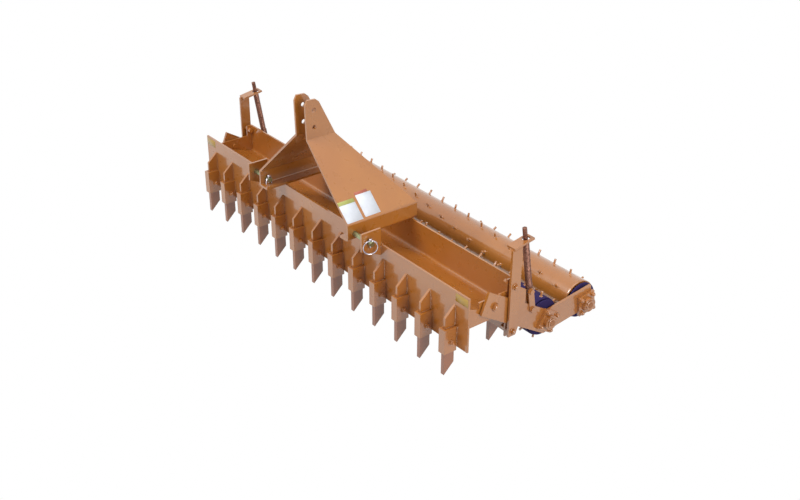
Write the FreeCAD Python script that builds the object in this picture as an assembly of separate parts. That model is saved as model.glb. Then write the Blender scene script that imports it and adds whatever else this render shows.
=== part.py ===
"""Soil pulverizer for a tractor's three-point hitch: a front plate with a row of ripper teeth, a sloped
trough plate, a rear blade with a second, staggered row of teeth, and two spiked rollers in a frame that
hinges on the main frame and is set in height by a screw at each end.

X runs along the width, +Y to the rear and +Z up, in millimetres. Heights are measured from the floor, on
which the teeth and the rollers stand. Lengths along Y are measured from the front plate's front face and
are shifted at the end, so that the origin is on the floor under the middle of the machine.
"""
import FreeCAD, Part
import math
import os

from FreeCAD import Vector

# Main frame
FRAME_HALF = 997.0              # half the front plate's width
FRAME_TOP = 372.5               # height of the front plate's top edge
FRONT_PLATE_H = 250.0
FRONT_PLATE_T = 8.0
BEND_R = 6.0                    # inside radius of a fold

# Ripper teeth
TOOTH_PITCH = 152.4
TOOTH_END_GAP = 60.0            # least distance from the last tooth to the end of the front plate
TOOTH_T = 19.0
TOOTH_DEPTH = 50.0              # along Y
TOOTH_RISE = 48.0               # how far the tip's slanted edge rises to the rear
TOOTH_TOP = 216.0
TOOTH_FIT = 0.5                 # gap round a tooth in its pocket
TOOTH_SETBACK = 5.0             # the tooth's back stands this far off its plate
POCKET_WALL = 8.0
POCKET_TOP = 217.5
POCKET_BOTTOM = 104.5
SHANK_T = 11.0                  # gusset plate over each tooth
SHANK_DEPTH = 51.0
SHANK_APEX = 311.0
SHANK_SHOULDER = 264.5

# Trough plate behind the front plate, and the rear blade
TROUGH_T = 6.0
TROUGH_FOOT_Z = 170.0
TROUGH_LIP_Y = 100.0
TROUGH_LIP = 20.0
BLADE_Y = 245.0                 # its front face
BLADE_T = 8.0
BLADE_BOTTOM = 105.0

# Frame cheeks that tie the front plate, trough and blade at each end
CHEEK_T = 8.0
CHEEK_FOOT_Z = 220.0
CHEEK_SHOULDER_Z = 262.0        # top of its front edge
CHEEK_TOP_Y = 104.0
CHEEK_TOP_Z = 350.0
CHEEK_SLOPE = 29.0              # degrees by which its middle falls to the rear
CHEEK_MIDDLE_H = 90.0
LUG_W = 34.0                    # lugs at its rear edge for the post's bolts

# Roller frame
PIVOT_Y = 140.0
PIVOT_Z = 285.0
PIVOT_R = 12.0
PIVOT_COLLAR_R = 20.0
PIVOT_HEAD_R = 18.0
PIVOT_HEAD_T = 10.0
ARM_T = 12.0
ARM_GAP = 5.0                   # running gap on each side of an arm
LEG_W = 101.6                   # both legs of an arm are this wide
FRONT_SLOPE = 31.9              # degrees by which its front leg falls to the rear
REAR_RISE = 6.7                 # degrees by which its rear leg rises to the rear
LEG_OVER_PIVOT = 50.0           # front leg's top edge over the pivot
LEG_OVER_AXLE = 43.0            # rear leg's top edge over the front axle
ARM_FRONT_Y = 108.0             # where the front leg's top edge starts
ARM_FRONT_SLANT = 67.7          # degrees of the front end's edge
ARM_REAR_END = 40.0             # how far an arm runs on behind the rear axle
EAR_FRONT_Y = 268.0             # ear on the arm in front of the screw
EAR_BACK_Y = 309.0
EAR_RISE = 55.0                 # square to the leg, over its top edge

# Rollers
DRUM_R = 84.15                  # to the middle of its flats
DRUM_SIDES = 36                 # narrow flats, so that each spike stands in the middle of one
DRUM_WALL = 8.0
DRUM_GAP = 23.0                 # from a drum's end to the arm
SPIKE_LEN = 23.0
SPIKE_R = 4.8
SPIKE_SIDES = 6
SPIKE_ROOT = 3.0                # how far a spike goes into the drum's wall
SPIKES_ROUND = 6
SPIKE_STEP = 111.0              # along the drum from one ring of spikes to the next
FRONT_AXLE_Y = 440.0
AXLE_SPACING = 228.6
AXLE_R = 12.7
AXLE_END = 6.0                  # how far an axle stands out of its bearing
END_DISC_R = 80.0
END_DISC_T = 6.0
END_DISC_GAP = 6.0              # from the drum to the disc on its axle
BEARING_SIDE = 92.0
BEARING_T = 14.0
BEARING_HUB_R = 32.0
BEARING_HUB_T = 18.0
BORE_MARGIN = 6.0               # gap round an axle where it passes an arm

# Posts, caps and height screws
POST_T = 10.0
POST_FRONT = 208.0
POST_W = 52.0
POST_BOTTOM = 120.0
POST_CORNER_W = 14.0
POST_CORNER_H = 32.0
POST_BOLT_R = 8.0
POST_BOLT_Y = 232.0
POST_BOLT_ZS = (350.0, 140.0)
BOLT_HEAD_R = 12.0
BOLT_HEAD_T = 8.0
BOSS_R = 11.0
BOSS_LEN = 20.0
EYE_Y = 333.0                   # eye at the screw's foot
EYE_Z = 286.0
EYE_R = 16.0
EYE_PLAY = 3.0                  # the eye drifts this much on its pin as the arms swing
EYE_PIN_R = 6.5
SCREW_LEAN = 9.25               # degrees by which the screw leans to the front
SCREW_R = 12.7
SCREW_START = 24.0              # along the screw, from the eye to the thread
SCREW_SHOULDER = 246.0
SCREW_END = 308.0
SCREW_NECK_R = 9.5
SCREW_SLOT_R = 15.0
SCREW_SLOT = 4.0
TONGUE_FIT = 0.5
CAP_T = 9.0
CAP_W = 46.0
CAP_OVERHANG = 4.0              # beyond the post's outer face
CAP_UP = 250.0                  # along the screw, from the eye to the cap's lower face
CAP_FRONT = 78.8                # across the screw, from its axis to the cap's front end
CAP_REAR = 27.2
STRAP_T = 6.0                   # straps that hold the eye on both sides of the arm
STRAP_W = 30.0
STRAP_BOLT_Y = 348.0
STRAP_BOLT_Z = 196.0
STRAP_BOLT_R = 8.0

# Three-point hitch
HITCH_T = 9.5
EAR_INNER_X = 35.0
FLANGE_OUTER_X = 343.0
EAR_BEND_Z = 726.5
EAR_FOOT_Z = 736.0              # the flat ears stand on the folded sides from here up
FLANGE_BEND_Z = 446.0
HITCH_LIP = 60.0
HITCH_FRONT = -100.0
HITCH_BACK = 271.5
EAR_FRONT_FOOT = -88.0
EAR_BACK_FOOT = 58.0
EAR_TOP_OUTLINE = ((-92.0, 885.0), (-80.0, 908.0), (-38.0, 905.0), (-22.0, 891.0))
TOP_PIN_R = 10.0
TOP_PIN_Y = -49.4
TOP_PIN_ZS = (859.0, 781.0)
LOWER_PIN_R = 11.0
LOWER_PIN_Y = -64.6
LOWER_PIN_Z = 404.5
PIN_HEAD_R = 16.0
PIN_HEAD_T = 10.0
PIN_END = 26.0                  # how far the pin stands out at the end away from its head
LINCH_HOLE_R = 5.0
PIN_FIT = 0.5
LINK_BAY = 87.0                 # between the flange and the outer link plate
LINK_PLATE_T = 10.0
LINK_PLATE_TOP = 449.0
LINK_PLATE_FRONT_Z = 366.0
LINK_PLATE_BACK_Z = 322.0
SEAT = 0.3                      # what turns or slides stands this far off its seat

FRONT_TEETH = 1 + int(2 * (FRAME_HALF - TOOTH_END_GAP) // TOOTH_PITCH)
REAR_TEETH = FRONT_TEETH - 1
SPIKE_TURN = 360 / DRUM_SIDES   # degrees from one ring to the next
ARM_X = FRAME_HALF - ARM_T
CHEEK_X = ARM_X - ARM_GAP - CHEEK_T
TROUGH_HALF = CHEEK_X
POST_X = FRAME_HALF + ARM_GAP
DRUM_HALF = ARM_X - DRUM_GAP
SCREW_X = ARM_X + ARM_T / 2
BEARING_X = FRAME_HALF
LINK_PLATE_X = FLANGE_OUTER_X + LINK_BAY
DRUM_REACH = DRUM_R + SPIKE_LEN
AXLE_Z = DRUM_REACH
REAR_AXLE_Y = FRONT_AXLE_Y + AXLE_SPACING
Y_SHIFT = -(HITCH_FRONT + REAR_AXLE_Y + DRUM_REACH) / 2

# Edges of an arm in the YZ plane, each a point and the degrees by which it rises to the rear
PIVOT_LINE = (PIVOT_Y, PIVOT_Z, -FRONT_SLOPE)
REAR_TOP_EDGE = (FRONT_AXLE_Y, AXLE_Z + LEG_OVER_AXLE, REAR_RISE)
REAR_END_EDGE = (REAR_AXLE_Y + ARM_REAR_END, AXLE_Z, 90 + REAR_RISE)


def prism_x(points, x0, x1):
    """A flat plate: an outline of (y, z) points, from x0 to x1."""
    wire = Part.makePolygon([Vector(x0, y, z) for y, z in points + points[:1]])
    return Part.Face(wire).extrude(Vector(x1 - x0, 0, 0))


def box(x0, x1, y0, y1, z0, z1):
    return Part.makeBox(x1 - x0, y1 - y0, z1 - z0, Vector(x0, y0, z0))


def rod_x(y, z, r, x0, x1):
    """A round bar along X."""
    return Part.makeCylinder(r, x1 - x0, Vector(x0, y, z), Vector(1, 0, 0))


def mirrored(shape):
    return shape.mirror(Vector(0, 0, 0), Vector(1, 0, 0))


def hexagon_x(y, z, r, x0, x1):
    """A hexagonal head or nut on an axis along X."""
    turns = [math.radians(60 * n) for n in range(6)]
    return prism_x([(y + r * math.cos(t), z + r * math.sin(t)) for t in turns], x0, x1)


def moved_edge(edge, distance):
    """The edge moved square to itself, up for a positive distance."""
    y, z, degrees = edge
    turn = math.radians(degrees)
    return y - distance * math.sin(turn), z + distance * math.cos(turn), degrees


def crossing(first, second):
    """Point where two edges cross."""
    (ya, za, da), (yb, zb, db) = first, second
    ta, tb = math.tan(math.radians(da)), math.tan(math.radians(db))
    y = (zb - za + ya * ta - yb * tb) / (ta - tb)
    return y, za + (y - ya) * ta


def height_on(edge, y):
    return edge[1] + (y - edge[0]) * math.tan(math.radians(edge[2]))


def offset_line(points, distance):
    """The open line of 2D points moved sideways, to its left for a positive distance, with sharp corners."""
    normals = []
    for (ax, ay), (bx, by) in zip(points, points[1:]):
        length = math.hypot(bx - ax, by - ay)
        normals.append((-(by - ay) / length, (bx - ax) / length))
    moved = [(points[0][0] + distance * normals[0][0], points[0][1] + distance * normals[0][1])]
    for (x, y), (ax, ay), (bx, by) in zip(points[1:-1], normals, normals[1:]):
        scale = distance / (1 + ax * bx + ay * by)
        moved.append((x + scale * (ax + bx), y + scale * (ay + by)))
    moved.append((points[-1][0] + distance * normals[-1][0], points[-1][1] + distance * normals[-1][1]))
    return moved


def folded_sheet(points, thickness, to_3d, along):
    """A sheet folded along a line of 2D points, which are one side of it; its other side lies to their left."""
    other = offset_line(points, thickness)
    corners = points + other[::-1]
    solid = Part.Face(Part.makePolygon([to_3d(a, b) for a, b in corners + corners[:1]])).extrude(along)
    for i in range(1, len(points) - 1):
        (ax, ay), (bx, by), (cx, cy) = points[i - 1:i + 2]
        turns_left = (bx - ax) * (cy - by) - (by - ay) * (cx - bx) > 0
        inner, outer = (other[i], points[i]) if turns_left else (points[i], other[i])
        for corner, radius in ((inner, BEND_R), (outer, BEND_R + thickness)):
            middle = to_3d(*corner) + along * 0.5
            folds = [edge for edge in solid.Edges if edge.CenterOfMass.distanceToPoint(middle) < SEAT]
            solid = solid.makeFillet(radius, folds)
    return solid


def tooth_outline(front):
    """(y, z) outline of a tooth whose front edge is at y = front."""
    back = front + TOOTH_DEPTH
    return [(front, 0), (front, TOOTH_TOP), (back, TOOTH_TOP), (back, TOOTH_RISE)]


def row_of(count):
    return [(i - (count - 1) / 2) * TOOTH_PITCH for i in range(count)]


def pocket(x, front, back, web_at_front):
    """A U-shaped pocket round a tooth, its legs welded to the plate it stands on."""
    half = TOOTH_T / 2 + TOOTH_FIT
    outer = box(x - half - POCKET_WALL, x + half + POCKET_WALL, front, back, POCKET_BOTTOM, POCKET_TOP)
    if web_at_front:
        inner = box(x - half, x + half, front + POCKET_WALL, back, POCKET_BOTTOM, POCKET_TOP)
    else:
        inner = box(x - half, x + half, front, back - POCKET_WALL, POCKET_BOTTOM, POCKET_TOP)
    return outer.cut(inner)


def front_plate():
    return box(-FRAME_HALF, FRAME_HALF, 0, FRONT_PLATE_T, FRAME_TOP - FRONT_PLATE_H, FRAME_TOP)


def front_row():
    """Gussets, pockets and teeth in front of the front plate."""
    tooth_front = -TOOTH_SETBACK - TOOTH_DEPTH
    pocket_front = tooth_front - TOOTH_FIT - POCKET_WALL
    gussets, pockets, teeth = [], [], []
    for x in row_of(FRONT_TEETH):
        outline = [(0, SHANK_APEX), (-SHANK_DEPTH, SHANK_SHOULDER), (-SHANK_DEPTH, TOOTH_TOP), (0, TOOTH_TOP)]
        gussets.append(prism_x(outline, x - SHANK_T / 2, x + SHANK_T / 2))
        pockets.append(pocket(x, pocket_front, 0, True))
        teeth.append(prism_x(tooth_outline(tooth_front), x - TOOTH_T / 2, x + TOOTH_T / 2))
    return gussets, pockets, teeth


def rear_row():
    """Pockets and teeth behind the rear blade."""
    plate = BLADE_Y + BLADE_T
    tooth_front = plate + TOOTH_SETBACK
    pocket_back = tooth_front + TOOTH_DEPTH + TOOTH_FIT + POCKET_WALL
    pockets, teeth = [], []
    for x in row_of(REAR_TEETH):
        pockets.append(pocket(x, plate, pocket_back, False))
        teeth.append(prism_x(tooth_outline(tooth_front), x - TOOTH_T / 2, x + TOOTH_T / 2))
    return pockets, teeth


def trough_plate():
    lip_z = FRAME_TOP - TROUGH_T
    line = [(FRONT_PLATE_T, TROUGH_FOOT_Z), (TROUGH_LIP_Y, lip_z), (TROUGH_LIP_Y + TROUGH_LIP, lip_z)]
    solid = folded_sheet(line, TROUGH_T, lambda y, z: Vector(-TROUGH_HALF, y, z), Vector(2 * TROUGH_HALF, 0, 0))
    return solid.cut(box(-FRAME_HALF, FRAME_HALF, -TROUGH_LIP_Y, FRONT_PLATE_T, 0, FRAME_TOP))


def rear_blade():
    return box(-TROUGH_HALF, TROUGH_HALF, BLADE_Y, BLADE_Y + BLADE_T, BLADE_BOTTOM, FRAME_TOP)


def cheek():
    """Right end plate of the main frame, inside the arm, with the lugs for the post's bolts."""
    x1 = CHEEK_X + CHEEK_T
    back = BLADE_Y + BLADE_T
    lug = back - LUG_W
    top = (CHEEK_TOP_Y, CHEEK_TOP_Z, -CHEEK_SLOPE)
    foot = moved_edge(top, -CHEEK_MIDDLE_H)
    knee = crossing(foot, (FRONT_PLATE_T, CHEEK_FOOT_Z, 0))
    outline = [(FRONT_PLATE_T, CHEEK_FOOT_Z), knee, (lug, height_on(foot, lug)), (lug, BLADE_BOTTOM),
               (back, BLADE_BOTTOM), (back, FRAME_TOP), (lug, FRAME_TOP), (lug, height_on(top, lug)),
               (CHEEK_TOP_Y, CHEEK_TOP_Z), (FRONT_PLATE_T, CHEEK_SHOULDER_Z)]
    return prism_x(outline, CHEEK_X, x1).cut(rod_x(PIVOT_Y, PIVOT_Z, PIVOT_R + SEAT, CHEEK_X, x1))


def pivot_pin():
    """Right hinge pin of the roller frame, fast in the cheek, with its head outside the arm."""
    x1 = ARM_X + ARM_T + SEAT
    pin = rod_x(PIVOT_Y, PIVOT_Z, PIVOT_R, CHEEK_X - BOLT_HEAD_T, x1)
    collar = rod_x(PIVOT_Y, PIVOT_Z, PIVOT_COLLAR_R, CHEEK_X + CHEEK_T, ARM_X - SEAT)
    return pin.fuse([collar, hexagon_x(PIVOT_Y, PIVOT_Z, PIVOT_HEAD_R, x1, x1 + PIVOT_HEAD_T)])


def side_arm():
    """Right arm of the roller frame: a front leg that falls to the rear and a rear leg that carries both rollers."""
    x1 = ARM_X + ARM_T
    front_top = moved_edge(PIVOT_LINE, LEG_OVER_PIVOT)
    front_foot = moved_edge(front_top, -LEG_W)
    rear_foot = moved_edge(REAR_TOP_EDGE, -LEG_W)
    front_end = (ARM_FRONT_Y, height_on(front_top, ARM_FRONT_Y), ARM_FRONT_SLANT)
    corners = ((front_top, front_end), (front_top, REAR_TOP_EDGE), (REAR_TOP_EDGE, REAR_END_EDGE),
               (rear_foot, REAR_END_EDGE), (rear_foot, front_foot), (front_foot, front_end))
    solid = prism_x([crossing(a, b) for a, b in corners], ARM_X, x1)
    ear_edge = moved_edge(front_top, EAR_RISE)
    ear = [(y, height_on(edge, y)) for y, edge in ((EAR_FRONT_Y, PIVOT_LINE), (EAR_FRONT_Y, ear_edge),
                                                   (EAR_BACK_Y, ear_edge), (EAR_BACK_Y, PIVOT_LINE))]
    solid = solid.fuse(prism_x(ear, ARM_X, x1)).removeSplitter()
    holes = ((PIVOT_Y, PIVOT_Z, PIVOT_R + SEAT), (STRAP_BOLT_Y, STRAP_BOLT_Z, STRAP_BOLT_R + SEAT),
             (FRONT_AXLE_Y, AXLE_Z, AXLE_R + BORE_MARGIN), (REAR_AXLE_Y, AXLE_Z, AXLE_R + BORE_MARGIN))
    for y, z, r in holes:
        solid = solid.cut(rod_x(y, z, r, ARM_X, x1))
    return solid


def screw_straps():
    """Straps on both sides of the right arm, with the pin for the screw's eye and the bolt through the arm."""
    inner, outer = ARM_X - STRAP_T, ARM_X + ARM_T
    half = STRAP_W / 2
    dy, dz = STRAP_BOLT_Y - EYE_Y, STRAP_BOLT_Z - EYE_Z
    length = math.hypot(dy, dz)
    side_y, side_z = -dz / length * half, dy / length * half
    outline = [(EYE_Y + side_y, EYE_Z + side_z), (EYE_Y - side_y, EYE_Z - side_z),
               (STRAP_BOLT_Y - side_y, STRAP_BOLT_Z - side_z), (STRAP_BOLT_Y + side_y, STRAP_BOLT_Z + side_z)]
    pieces = []
    for x in (inner, outer):
        ends = [rod_x(y, z, half, x, x + STRAP_T) for y, z in ((EYE_Y, EYE_Z), (STRAP_BOLT_Y, STRAP_BOLT_Z))]
        pieces.append(prism_x(outline, x, x + STRAP_T).fuse(ends))
    for y, z, r in ((EYE_Y, EYE_Z, EYE_PIN_R), (STRAP_BOLT_Y, STRAP_BOLT_Z, STRAP_BOLT_R)):
        pieces.append(rod_x(y, z, r, inner, outer + STRAP_T))
        pieces.append(hexagon_x(y, z, r + STRAP_T, outer + STRAP_T, outer + STRAP_T + BOLT_HEAD_T))
    return pieces[0].fuse(pieces[1:]).removeSplitter()


def screw_point(up, across):
    """(y, z) of a point at a distance along the screw's axis from its eye, and to the rear of the axis."""
    lean = math.radians(SCREW_LEAN)
    return (EYE_Y - up * math.sin(lean) + across * math.cos(lean),
            EYE_Z + up * math.cos(lean) + across * math.sin(lean))


def screw_bar(r, start, end, across=0.0):
    """A round bar along the right screw's axis."""
    base = Vector(SCREW_X, *screw_point(start, across))
    top = Vector(SCREW_X, *screw_point(end, across))
    return Part.makeCylinder(r, end - start, base, top - base)


def screw():
    """Right height screw: a flat eye, the thread and a neck that passes the cap."""
    x0, x1 = ARM_X + TONGUE_FIT, ARM_X + ARM_T - TONGUE_FIT
    corners = ((0, EYE_R), (SCREW_START + SCREW_R, EYE_R), (SCREW_START + SCREW_R, -EYE_R), (0, -EYE_R))
    tongue = prism_x([screw_point(up, across) for up, across in corners], x0, x1)
    tongue = tongue.common(screw_bar(EYE_R, 0, SCREW_START + 2 * SCREW_R))
    eye = rod_x(EYE_Y, EYE_Z, EYE_R, x0, x1)
    thread = screw_bar(SCREW_R, SCREW_START, SCREW_SHOULDER)
    neck = screw_bar(SCREW_NECK_R, SCREW_SHOULDER, SCREW_END)
    return eye.fuse([tongue, thread, neck]).cut(rod_x(EYE_Y, EYE_Z, EYE_PIN_R + EYE_PLAY, x0, x1))


def post():
    """Right post: a flat bar outside the arm, cut off square to the screw under the cap."""
    back = POST_FRONT + POST_W
    cap_foot = (*screw_point(CAP_UP, 0), SCREW_LEAN)
    outline = [(POST_FRONT, POST_BOTTOM), (POST_FRONT, height_on(cap_foot, POST_FRONT)),
               (back, height_on(cap_foot, back)), (back, POST_BOTTOM + POST_CORNER_H),
               (back - POST_CORNER_W, POST_BOTTOM)]
    return prism_x(outline, POST_X, POST_X + POST_T)


def post_bolts():
    """The bolts that carry the right post, above and below the arm, with their spacers and inner bosses."""
    bolts = []
    for z in POST_BOLT_ZS:
        bolts.append(rod_x(POST_BOLT_Y, z, POST_BOLT_R, CHEEK_X + CHEEK_T, POST_X))
        bolts.append(hexagon_x(POST_BOLT_Y, z, BOLT_HEAD_R, POST_X + POST_T, POST_X + POST_T + BOLT_HEAD_T))
        bolts.append(rod_x(POST_BOLT_Y, z, BOSS_R, CHEEK_X - BOSS_LEN, CHEEK_X))
    return bolts


def post_cap():
    """Plate on top of the right post, square to the screw, with the slot that the screw passes."""
    x1 = POST_X + POST_T + CAP_OVERHANG
    top = CAP_UP + CAP_T
    corners = ((CAP_UP, -CAP_FRONT), (CAP_UP, CAP_REAR), (top, CAP_REAR), (top, -CAP_FRONT))
    cap = prism_x([screw_point(up, across) for up, across in corners], x1 - CAP_W, x1)
    corners = ((CAP_UP, 0), (CAP_UP, SCREW_SLOT), (top, SCREW_SLOT), (top, 0))
    slot = prism_x([screw_point(up, across) for up, across in corners], SCREW_X - SCREW_SLOT_R, SCREW_X + SCREW_SLOT_R)
    ends = [screw_bar(SCREW_SLOT_R, CAP_UP, top, across) for across in (0, SCREW_SLOT)]
    return cap.cut([slot] + ends)


def hitch_side():
    """Right half of the hitch frame, folded from one plate and trimmed: the ear, and the leaning side with its
    flange and lip."""
    flange_inner = FLANGE_OUTER_X - HITCH_T
    top = max(z for y, z in EAR_TOP_OUTLINE) + HITCH_T
    line = [(EAR_INNER_X, top), (EAR_INNER_X, EAR_BEND_Z), (flange_inner, FLANGE_BEND_Z),
            (flange_inner, FRAME_TOP + HITCH_T), (FLANGE_OUTER_X - HITCH_LIP, FRAME_TOP + HITCH_T)]
    start = HITCH_FRONT - HITCH_T
    length = HITCH_BACK + HITCH_T - start
    sheet = folded_sheet(line, HITCH_T, lambda x, z: Vector(x, start, z), Vector(0, length, 0))
    outline = [(HITCH_FRONT, FRAME_TOP), (HITCH_FRONT, FLANGE_BEND_Z), (EAR_FRONT_FOOT, EAR_BEND_Z),
               *EAR_TOP_OUTLINE, (EAR_BACK_FOOT, EAR_BEND_Z), (HITCH_BACK, FLANGE_BEND_Z), (HITCH_BACK, FRAME_TOP)]
    solid = sheet.common(prism_x(outline, 0, FLANGE_OUTER_X + HITCH_T))
    for z in TOP_PIN_ZS:
        solid = solid.cut(rod_x(TOP_PIN_Y, z, TOP_PIN_R, EAR_INNER_X, EAR_INNER_X + HITCH_T))
    solid = solid.cut(rod_x(LOWER_PIN_Y, LOWER_PIN_Z, LOWER_PIN_R + PIN_FIT, flange_inner, FLANGE_OUTER_X))
    above = box(0, FLANGE_OUTER_X, start, start + length, EAR_FOOT_Z, top)
    return solid.common(above), solid.cut(above)


def link_plate():
    """Right outer plate that carries the far end of the lower hitch pin."""
    outline = [(HITCH_FRONT, LINK_PLATE_FRONT_Z), (HITCH_FRONT, LINK_PLATE_TOP), (0, LINK_PLATE_TOP),
               (0, LINK_PLATE_BACK_Z)]
    x1 = LINK_PLATE_X + LINK_PLATE_T
    hole = rod_x(LOWER_PIN_Y, LOWER_PIN_Z, LOWER_PIN_R + PIN_FIT, LINK_PLATE_X, x1)
    return prism_x(outline, LINK_PLATE_X, x1).cut(hole)


def lower_pin(head_inside):
    """Right lower hitch pin, with its head against the flange or against the outer plate and a cross hole."""
    inner, outer = FLANGE_OUTER_X - HITCH_T, LINK_PLATE_X + LINK_PLATE_T
    if head_inside:
        shank = (inner - SEAT, outer + PIN_END)
        head = (inner - SEAT - PIN_HEAD_T, inner - SEAT)
        hole_x = outer + PIN_END / 2
    else:
        shank = (inner - PIN_END, outer + SEAT)
        head = (outer + SEAT, outer + SEAT + PIN_HEAD_T)
        hole_x = inner - PIN_END / 2
    pin = rod_x(LOWER_PIN_Y, LOWER_PIN_Z, LOWER_PIN_R, *shank)
    pin = pin.fuse(rod_x(LOWER_PIN_Y, LOWER_PIN_Z, PIN_HEAD_R, *head))
    foot = Vector(hole_x, LOWER_PIN_Y, LOWER_PIN_Z - LOWER_PIN_R)
    return pin.cut(Part.makeCylinder(LINCH_HOLE_R, 2 * LOWER_PIN_R, foot))


def spike(base, out):
    """A hexagonal spike along a radius, on a ring of the drum square to X."""
    across = Vector(1, 0, 0)
    side = out.cross(across)
    turns = [math.radians(360 * n / SPIKE_SIDES) for n in range(SPIKE_SIDES + 1)]
    ring = [base + across * (SPIKE_R * math.cos(t)) + side * (SPIKE_R * math.sin(t)) for t in turns]
    return Part.Face(Part.makePolygon(ring)).extrude(out * (SPIKE_ROOT + SPIKE_LEN))


def drum(axle_y, offset):
    """A hollow drum with closed ends and rings of spikes that turn step by step along it."""
    corner_r = DRUM_R / math.cos(math.pi / DRUM_SIDES)
    turns = [2 * math.pi * (n + 0.5) / DRUM_SIDES for n in range(DRUM_SIDES)]
    corners = [(axle_y + corner_r * math.cos(t), AXLE_Z + corner_r * math.sin(t)) for t in turns]
    tube = prism_x(corners, -DRUM_HALF, DRUM_HALF)
    tube = tube.cut(rod_x(axle_y, AXLE_Z, DRUM_R - DRUM_WALL, -DRUM_HALF + DRUM_WALL, DRUM_HALF - DRUM_WALL))
    tube = tube.cut(rod_x(axle_y, AXLE_Z, AXLE_R + SEAT, -DRUM_HALF, DRUM_HALF))
    first = -int((DRUM_HALF - SPIKE_R + offset) // SPIKE_STEP)
    last = int((DRUM_HALF - SPIKE_R - offset) // SPIKE_STEP)
    spikes = []
    for k in range(first, last + 1):
        centre = Vector(offset + k * SPIKE_STEP, axle_y, AXLE_Z)
        for n in range(SPIKES_ROUND):
            angle = math.radians(k * SPIKE_TURN + n * 360 / SPIKES_ROUND)
            out = Vector(0, math.cos(angle), math.sin(angle))
            spikes.append(spike(centre + out * (DRUM_R - SPIKE_ROOT), out))
    return tube.fuse(spikes)


def axle(axle_y):
    """Axle through a drum, running in a bearing at each end."""
    end = BEARING_X + BEARING_T + BEARING_HUB_T + AXLE_END
    return rod_x(axle_y, AXLE_Z, AXLE_R, -end, end)


def end_discs(axle_y):
    """Discs on an axle outside the two ends of its drum."""
    x0 = DRUM_HALF + END_DISC_GAP
    disc = rod_x(axle_y, AXLE_Z, END_DISC_R, x0, x0 + END_DISC_T)
    disc = disc.cut(rod_x(axle_y, AXLE_Z, AXLE_R + SEAT, x0, x0 + END_DISC_T))
    return disc, mirrored(disc)


def bearing(axle_y, turn):
    """Right flange bearing: a square flange on the arm, turned with the arm's leg, and a round hub."""
    x1 = BEARING_X + BEARING_T
    half = BEARING_SIDE / 2
    flange = box(BEARING_X, x1, axle_y - half, axle_y + half, AXLE_Z - half, AXLE_Z + half)
    flange.rotate(Vector(0, axle_y, AXLE_Z), Vector(1, 0, 0), turn)
    hub = rod_x(axle_y, AXLE_Z, BEARING_HUB_R, x1, x1 + BEARING_HUB_T)
    bore = rod_x(axle_y, AXLE_Z, AXLE_R + SEAT, BEARING_X, x1 + BEARING_HUB_T)
    return flange.fuse(hub).cut(bore)


def save(name, *shapes):
    """Writes one node, moved so that the origin is under the middle of the machine."""
    solids = [s for shape in shapes for s in shape.Solids]
    shape = solids[0] if len(solids) == 1 else Part.makeCompound(solids)
    shape.translate(Vector(0, Y_SHIFT, 0))
    shape.exportStep(os.path.join("parts", name + ".step"))


def save_pair(name, *shapes):
    save(name + "_right", *[s.copy() for s in shapes])
    save(name + "_left", *[mirrored(s) for s in shapes])


def main():
    os.makedirs("parts", exist_ok=True)
    gussets, pockets, teeth = front_row()
    rear_pockets, rear_teeth = rear_row()
    save("front_plate", front_plate())
    save("shank_gussets", *gussets)
    save("front_tooth_pockets", *pockets)
    save("front_teeth", *teeth)
    save("rear_tooth_pockets", *rear_pockets)
    save("rear_teeth", *rear_teeth)
    save("trough_plate", trough_plate())
    save("rear_blade", rear_blade())
    save_pair("frame_cheek", cheek())
    save_pair("pivot_pin", pivot_pin())
    save_pair("side_arm", side_arm())
    save_pair("screw_straps", screw_straps())
    save_pair("height_screw", screw())
    save_pair("post", post())
    save_pair("post_bolts", *post_bolts())
    save_pair("post_cap", post_cap())
    ear, side = hitch_side()
    save_pair("hitch_ear", ear)
    save_pair("hitch_side", side)
    save_pair("link_plate", link_plate())
    save("lower_pin_right", lower_pin(True))
    save("lower_pin_left", mirrored(lower_pin(False)))
    rollers = (("front_roller", FRONT_AXLE_Y, SPIKE_STEP / 2, -FRONT_SLOPE),
               ("rear_roller", REAR_AXLE_Y, 0.0, REAR_RISE))
    for name, axle_y, offset, turn in rollers:
        save(name + "_drum", drum(axle_y, offset))
        save(name + "_axle", axle(axle_y))
        save(name + "_discs", *end_discs(axle_y))
        save_pair(name + "_bearing", bearing(axle_y, turn))


main()
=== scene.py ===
"""Looks of the soil pulverizer: glossy tan enamel on welded plate, deep purple roller and discs, oiled screws
and zinc-plated pins, with the trough's deck and the bolts, welds, threads, pins and stickers that its solids
leave out. Lengths are in metres. A place along Y that is written as a number is measured from the front
plate's front face, as in the solids' source, and moved by Y_SHIFT.
"""

import math

import bpy
from mathutils import Matrix, Vector


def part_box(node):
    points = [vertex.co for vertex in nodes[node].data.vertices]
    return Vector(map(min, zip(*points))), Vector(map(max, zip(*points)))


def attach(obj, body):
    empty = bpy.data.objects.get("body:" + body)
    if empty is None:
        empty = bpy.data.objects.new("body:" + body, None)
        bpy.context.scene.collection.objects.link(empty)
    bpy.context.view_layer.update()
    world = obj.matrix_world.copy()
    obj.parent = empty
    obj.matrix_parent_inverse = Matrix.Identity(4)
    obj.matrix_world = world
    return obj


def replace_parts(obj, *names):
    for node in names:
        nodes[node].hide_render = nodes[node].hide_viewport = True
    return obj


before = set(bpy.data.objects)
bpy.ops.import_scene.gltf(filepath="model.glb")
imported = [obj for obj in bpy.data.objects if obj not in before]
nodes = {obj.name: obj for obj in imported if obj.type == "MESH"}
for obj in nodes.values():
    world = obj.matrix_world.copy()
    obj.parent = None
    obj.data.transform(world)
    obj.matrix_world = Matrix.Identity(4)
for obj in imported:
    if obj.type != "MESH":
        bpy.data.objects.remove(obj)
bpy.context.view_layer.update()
SIDES = (("right", 1), ("left", -1))
X, Y, Z = Vector((1, 0, 0)), Vector((0, 1, 0)), Vector((0, 0, 1))

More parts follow.
